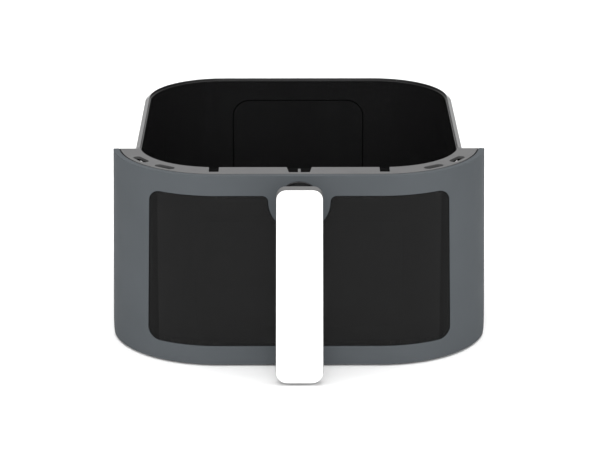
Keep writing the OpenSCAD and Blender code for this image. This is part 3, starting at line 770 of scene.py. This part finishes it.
HANDLE_LOW, HANDLE_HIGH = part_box("handle_body")
COVER_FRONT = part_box("handle_cover")[0].y
HANDLE_HALF = 18 * MM
HANDLE_SPREAD = 0.65 * MM
HANDLE_TOP_R, HANDLE_LOW_R = 7.6 * MM, 9 * MM
SCREW_Z = (62 * MM, 102 * MM)


def handle_outline(inset=0.0):
    """The handle's outline in X and Z, slightly wider at its foot."""
    half = HANDLE_HALF - inset
    side = trapezoid_side(half, half + HANDLE_SPREAD, HANDLE_LOW.z + inset, HANDLE_HIGH.z - inset,
                          HANDLE_TOP_R - inset, HANDLE_LOW_R - inset)
    return mirrored(side)


def handle_body():
    """The grey rear half of the handle, with two recesses for its screws."""
    thick = HANDLE_HIGH.y - HANDLE_LOW.y
    body = stood(slab([handle_outline()], thick, 1.2 * MM, 4), HANDLE_LOW.y)
    recess_r, recess_depth = 3.1 * MM, 1.6 * MM
    recesses = []
    for z in SCREW_Z:
        recess = prism(arc((0, z), recess_r, 0, 360, 32)[:-1], 0, 5 * MM)
        recesses.append(stood(recess, HANDLE_HIGH.y - recess_depth))
    body = boolean(body, *recesses)
    return dress(new_object("handle_back", body), HANDLE_GREY, DRAWER, "handle_grey", "handle_body")


def handle_cover():
    """The white face of the handle, slightly crowned across its width."""
    thick, crown, pitch = 2 * MM, 0.35 * MM, 1.2 * MM
    cover = slab([handle_outline(0.3 * MM)], thick, 0.8 * MM, 4)
    slice_x(cover, [k * pitch for k in range(-14, 15)])
    for v in cover.verts:
        if v.co.z < thick / 2:
            v.co.z += crown * (v.co.x / HANDLE_HALF) ** 2
    stood(cover, COVER_FRONT)
    return dress(new_object("handle_face", cover), WHITE, DRAWER, "handle_white", "handle_cover")


def handle_neck():
    """The neck from the dish to the handle, which widens where it meets the handle."""
    front, back = HANDLE_HIGH.y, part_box("handle_neck")[1].y
    flare_len, flare, steps = 6 * MM, 2.2 * MM, 8
    places = []
    for k in range(steps + 1):
        t = k / steps
        places.append((front + flare_len * t, flare * (1 - math.sqrt(1 - (1 - t) ** 2))))
    places.append((back, 0))
    rings = []
    for y, grow in places:
        half_w, half_h = 12 * MM + grow, 11 * MM + grow
        outline = round_rect(half_w, DISH_Z - half_h, DISH_Z + half_h, 8 * MM + grow, 10)
        rings.append([(x, y, z) for x, z in outline])
    return dress(new_object("handle_stem", skin(rings)), NECK, DRAWER, "neck_grey", "handle_neck")


def handle_dish():
    """The dished cup in the front, behind the handle."""
    # The section as (radius, depth behind the front): the edge, the dished inside, then the back
    edge_depth, edge_r, outer_r = 1.2 * MM, 0.6 * MM, DISH_R - 0.1 * MM
    profile = [(outer_r, WALL + 0.4 * MM), (outer_r, edge_depth)]
    profile += arc((outer_r - edge_r, edge_depth), edge_r, 0, -180, 8)
    floor, floor_r, flank, steps = 9 * MM, 12.6 * MM, 2.7 * MM, 12
    for k in range(1, steps + 1):
        a = math.radians(90 * k / steps)
        depth = edge_depth + (floor - edge_depth) * math.sin(a)
        profile.append((floor_r + flank * math.cos(a), depth))
    hole_r, under, flange_r = 2 * MM, floor + 1.5 * MM, DISH_R + 2 * MM
    profile += [(hole_r, floor), (hole_r, under), (DISH_R - 2.4 * MM, under)]
    profile += [(DISH_R - 0.9 * MM, WALL + 1.8 * MM), (flange_r, WALL + 1.8 * MM)]
    profile += [(flange_r, WALL + 0.4 * MM)]
    rings = []
    for r, depth in profile:
        rings.append([(x, FRONT + depth, z) for x, z in arc((0, DISH_Z), r, 0, 360, 64)[:-1]])
    cup = new_object("handle_cup", skin(rings, loop=True))
    return dress(cup, DISH, DRAWER, "dish_black", "handle_dish")


# ---- Screws ----

def islands(node):
    """The (lowest, highest) corners of each separate solid of a CAD node."""
    bm = bmesh.new()
    bm.from_mesh(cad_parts[node].data)
    bmesh.ops.remove_doubles(bm, verts=bm.verts, dist=1e-6)
    left, found = set(bm.verts), []
    while left:
        group, edge = set(), [min(left, key=lambda v: v.index)]
        while edge:
            v = edge.pop()
            if v in group:
                continue
            group.add(v)
            edge += [e.other_vert(v) for e in v.link_edges]
        left -= group
        low = Vector([min(v.co[i] for v in group) for i in range(3)])
        high = Vector([max(v.co[i] for v in group) for i in range(3)])
        found.append((low, high))
    bm.free()
    return found


def screw(r, head_t, shank_r, length):
    """A pan-head screw with a cross recess: its head's top is at z = 0 and its shank points up."""
    arm, half, tip = 0.62 * r, 0.17 * r, 0.3 * MM
    cross = [(half, arm), (half, half), (arm, half), (arm, -half), (half, -half), (half, -arm)]
    cross = cross + [(-x, -y) for x, y in cross]
    cap = slab([arc((0, 0), r, 0, 360, 32)[:-1], cross], head_t * 0.65, 0.12 * r, 3)
    profile = [(r * 0.93, head_t * 0.5), (r * 0.97, head_t), (shank_r, head_t + 0.01 * MM)]
    profile += [(shank_r, length - tip), (shank_r - tip, length)]
    return joined([cap, lathe((0, 0), profile, 32)])


def screws(name, node, axis, heads_low, r=SCREW_HEAD_R, shank_r=SCREW_R, head_t=SCREW_HEAD_T):
    """Replaces a CAD node of equal screws, whose heads are at the low or high end, with detailed ones."""
    parts = []
    for low, high in islands(node):
        index = "XYZ".index(axis)
        part = screw(r, head_t, shank_r, high[index] - low[index])
        aim = Vector((0, 0, 0))
        aim[index] = 1 if heads_low else -1
        head = (low + high) / 2
        head[index] = low[index] if heads_low else high[index]
        turn = Vector((0, 0, 1)).rotation_difference(aim).to_matrix().to_4x4()
        parts.append(turned(part, Matrix.Translation(head) @ turn))
    return dress(new_object(name, joined(parts), 30), ZINC, DRAWER, "zinc_steel", node)


# ---- Interlock tab ----

def interlock_tab():
    """The grey post that stands up in the ledge's middle notch; its faces low down in the notch get black
    plastic as painted shade.
    """
    tab = dress_node("interlock_tab", LEDGE)
    tab.data.materials.append(BLACK)
    # Painted shade: faces wholly below this height are black
    painted_shade_top = TOP - 9 * MM
    for face in tab.data.polygons:
        face_top = max(tab.data.vertices[v].co.z for v in face.vertices)
        face.material_index = int(face_top < painted_shade_top)


# ---- Stage, lights and camera ----

def stage():
    """A pale floor under a white studio sky, with soft lights overhead, in front and on each side."""
    bm = bmesh.new()
    bmesh.ops.create_grid(bm, x_segments=2, y_segments=2, size=6)
    floor = new_object("floor", bm)
    n = Nodes("floor_paint")
    n.set(Base_Color=(0.97, 0.97, 0.97, 1), Roughness=0.9, Specular_IOR_Level=0.1)
    floor.data.materials.append(n.material)

    world = bpy.data.worlds.new("studio")
    bpy.context.scene.world = world
    world.use_nodes = True
    sky = world.node_tree.nodes["Background"]
    sky.inputs["Color"].default_value = (1, 1, 1, 1)
    sky.inputs["Strength"].default_value = 0.85

    middle = (0, 0, 0.08)
    soft_light("overhead", (0, 0.1, 2.2), (0, 0, 0.1), 2.2, 34)
    soft_light("front", (0, -2.8, 1.35), middle, 2, 42)
    soft_light("left", (-2.2, -1.2, 1.2), middle, 1.4, 5)
    soft_light("right", (2.2, -1.2, 1.2), middle, 1.4, 5)


def soft_light(name, place, aim, size, power):
    """A round area light, in metres and watts, that points at aim."""
    data = bpy.data.lights.new(name, "AREA")
    data.shape = "DISK"
    data.size = size
    data.energy = power
    light = bpy.data.objects.new(name, data)
    light.location = place
    light.rotation_euler = (Vector(aim) - Vector(place)).to_track_quat("-Z", "Y").to_euler()
    bpy.context.scene.collection.objects.link(light)


def camera():
    """A long lens, 1.9 m in front of the drawer and 0.6 m above it, tipped down by 18.3 degrees."""
    offset, distance, height = -0.0078, 1.90314, 0.5898
    tilt, yaw = 0.319702, -0.004356
    data = bpy.data.cameras.new("camera")
    data.lens = 153.82
    data.sensor_width = 36
    data.clip_end = 50
    cam = bpy.data.objects.new("camera", data)
    cam.location = (offset, FRONT - distance, TOP + height)
    cam.rotation_euler = (math.pi / 2 - tilt, 0, yaw)
    bpy.context.scene.collection.objects.link(cam)
    bpy.context.scene.camera = cam


camera()
stage()
bpy.context.scene.view_settings.view_transform = "Standard"

front_shell()
ledge()
outer_window()
pan()
crisper_plate()
crisper_feet()
handle_body()
handle_cover()
handle_neck()
handle_dish()
screws("lower_screw_heads", "lower_screws", "Z", True)
screws("frame_screw_heads", "inner_frame_screws", "Y", True)
screws("strap_screw_heads", "handle_strap_screws", "Y", False, shank_r=1.2 * MM, head_t=1.4 * MM)
screws("neck_screw_heads", "handle_screws", "Y", False, 3.6 * MM, 1.65 * MM, 2.2 * MM)
screws("pan_screw_heads", "pan_screws", "Y", False, 3.2 * MM)
interlock_tab()

for name, look in {
    "lower_cover": BLACK, "end_caps": BLACK, "heat_shield": SHADE_BLACK_STEEL, "window_seal": SEAL,
    "window_bezel": BLACK, "bezel_screws": ZINC, "inner_window": CLEAR, "inner_window_seal": SEAL,
    "inner_window_frame": SHADE_BLACK_STEEL, "pan_spacers": ZINC, "ledge_screws": ZINC,
    "rim_clips": SPRING_SHADE, "handle_bracket": SHADE_BLACK_STEEL,
}.items():
    dress_node(name, look)
